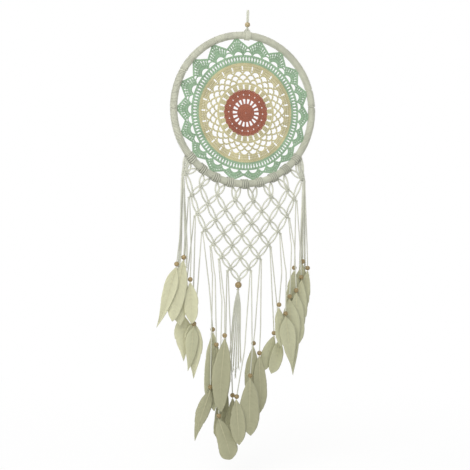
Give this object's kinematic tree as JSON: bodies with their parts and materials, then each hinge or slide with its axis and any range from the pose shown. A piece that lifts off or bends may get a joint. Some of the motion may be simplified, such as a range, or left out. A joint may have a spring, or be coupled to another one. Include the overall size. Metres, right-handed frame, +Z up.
{
  "type": "dream catcher",
  "caption": "Hanging dream catcher: a cord-wrapped hoop round a crocheted doily, with a knotted net and beaded feather strands that sway below it.",
  "frame": {"origin": "top of the hanging loop, where a hook or nail holds it", "axes": "+Z up, the front faces -Y, +X to the right seen from the front"},
  "size_m": [0.3464, 0.0543, 0.9251],
  "materials": {
    "cotton_cord": "matte twisted cotton",
    "wrap_yarn": "matte wound cotton cord",
    "red_yarn": "matte crochet cotton",
    "cream_yarn": "matte crochet cotton",
    "mint_yarn": "matte crochet cotton",
    "feather": "soft barbs with a faint sheen",
    "bead_wood": "turned wood, satin",
    "cane": "bare cane"
  },
  "bodies": {
    "hanging_loop": {"hanging_loop": "cotton_cord"},
    "hanger": {"hanger_bead": "bead_wood", "hanger_cord": "cotton_cord"},
    "hoop": {"hanger_lashing": "cotton_cord", "hoop_core": "cane", "hoop_wrap": "wrap_yarn", "doily_rosette": "red_yarn", "doily_mesh": "cream_yarn", "doily_star": "mint_yarn", "larks_heads": "cotton_cord", "macrame_net": "cotton_cord", "centre_bead": "bead_wood"},
    "tassel": {"tassel": "cotton_cord"},
    "strand_l1": {"strand_l1_cords": "cotton_cord", "strand_l1_beads": "bead_wood", "strand_l1_feathers": "feather"},
    "strand_l2": {"strand_l2_cords": "cotton_cord", "strand_l2_beads": "bead_wood", "strand_l2_feathers": "feather"},
    "strand_l3": {"strand_l3_cords": "cotton_cord", "strand_l3_beads": "bead_wood", "strand_l3_feathers": "feather"},
    "strand_l4": {"strand_l4_cords": "cotton_cord", "strand_l4_beads": "bead_wood", "strand_l4_feathers": "feather"},
    "strand_l5": {"strand_l5_cords": "cotton_cord", "strand_l5_beads": "bead_wood", "strand_l5_feathers": "feather"},
    "strand_l6": {"strand_l6_cords": "cotton_cord", "strand_l6_beads": "bead_wood", "strand_l6_feathers": "feather"},
    "strand_l7": {"strand_l7_cords": "cotton_cord", "strand_l7_beads": "bead_wood", "strand_l7_feathers": "feather"},
    "strand_r1": {"strand_r1_cords": "cotton_cord", "strand_r1_beads": "bead_wood", "strand_r1_feathers": "feather"},
    "strand_r2": {"strand_r2_cords": "cotton_cord", "strand_r2_beads": "bead_wood", "strand_r2_feathers": "feather"},
    "strand_r3": {"strand_r3_cords": "cotton_cord", "strand_r3_beads": "bead_wood", "strand_r3_feathers": "feather"},
    "strand_r4": {"strand_r4_cords": "cotton_cord", "strand_r4_beads": "bead_wood", "strand_r4_feathers": "feather"},
    "strand_r5": {"strand_r5_cords": "cotton_cord", "strand_r5_beads": "bead_wood", "strand_r5_feathers": "feather"},
    "strand_r6": {"strand_r6_cords": "cotton_cord", "strand_r6_beads": "bead_wood", "strand_r6_feathers": "feather"},
    "strand_r7": {"strand_r7_cords": "cotton_cord", "strand_r7_beads": "bead_wood", "strand_r7_feathers": "feather"}
  },
  "joints": [
    {"name": "hoop_twist", "type": "hinge", "parent": "hanging_loop", "child": "hanger", "pos_m": [0, 0, 0], "axis": [0, 0, 1], "range_deg": [-180, 180]},
    {"name": "hoop_swing", "type": "hinge", "parent": "hanger", "child": "hoop", "pos_m": [0, 0, -0.039], "axis": [0, 1, 0], "range_deg": [-20, 20]},
    {"name": "tassel_sway", "type": "hinge", "parent": "hoop", "child": "tassel", "pos_m": [0, 0.0015, -0.57715], "axis": [0, 1, 0], "range_deg": [-10, 10]},
    {"name": "strand_l1_sway", "type": "hinge", "parent": "hoop", "child": "strand_l1", "pos_m": [-0.12776, 0, -0.34667], "axis": [0, 1, 0], "range_deg": [-5, 12]},
    {"name": "strand_l2_sway", "type": "hinge", "parent": "hoop", "child": "strand_l2", "pos_m": [-0.11326, 0, -0.38949], "axis": [0, 1, 0], "range_deg": [-5, 12]},
    {"name": "strand_l3_sway", "type": "hinge", "parent": "hoop", "child": "strand_l3", "pos_m": [-0.09978, 0, -0.42679], "axis": [0, 1, 0], "range_deg": [-5, 10]},
    {"name": "strand_l4_sway", "type": "hinge", "parent": "hoop", "child": "strand_l4", "pos_m": [-0.08285, 0, -0.45937], "axis": [0, 1, 0], "range_deg": [-6, 8]},
    {"name": "strand_l5_sway", "type": "hinge", "parent": "hoop", "child": "strand_l5", "pos_m": [-0.06359, 0, -0.48814], "axis": [0, 1, 0], "range_deg": [-4, 6]},
    {"name": "strand_l6_sway", "type": "hinge", "parent": "hoop", "child": "strand_l6", "pos_m": [-0.04433, 0, -0.51407], "axis": [0, 1, 0], "range_deg": [-8, 6]},
    {"name": "strand_l7_sway", "type": "hinge", "parent": "hoop", "child": "strand_l7", "pos_m": [-0.02506, 0, -0.5382], "axis": [0, 1, 0], "range_deg": [-8, 8]},
    {"name": "strand_r1_sway", "type": "hinge", "parent": "hoop", "child": "strand_r1", "pos_m": [0.14081, 0, -0.34667], "axis": [0, 1, 0], "range_deg": [-12, 6]},
    {"name": "strand_r2_sway", "type": "hinge", "parent": "hoop", "child": "strand_r2", "pos_m": [0.12445, 0, -0.38949], "axis": [0, 1, 0], "range_deg": [-10, 6]},
    {"name": "strand_r3_sway", "type": "hinge", "parent": "hoop", "child": "strand_r3", "pos_m": [0.10911, 0, -0.42679], "axis": [0, 1, 0], "range_deg": [-10, 6]},
    {"name": "strand_r4_sway", "type": "hinge", "parent": "hoop", "child": "strand_r4", "pos_m": [0.09031, 0, -0.45937], "axis": [0, 1, 0], "range_deg": [-8, 6]},
    {"name": "strand_r5_sway", "type": "hinge", "parent": "hoop", "child": "strand_r5", "pos_m": [0.06918, 0, -0.48814], "axis": [0, 1, 0], "range_deg": [-8, 8]},
    {"name": "strand_r6_sway", "type": "hinge", "parent": "hoop", "child": "strand_r6", "pos_m": [0.04805, 0, -0.51407], "axis": [0, 1, 0], "range_deg": [-8, 8]},
    {"name": "strand_r7_sway", "type": "hinge", "parent": "hoop", "child": "strand_r7", "pos_m": [0.02693, 0, -0.5382], "axis": [0, 1, 0], "range_deg": [-8, 8]}
  ]
}
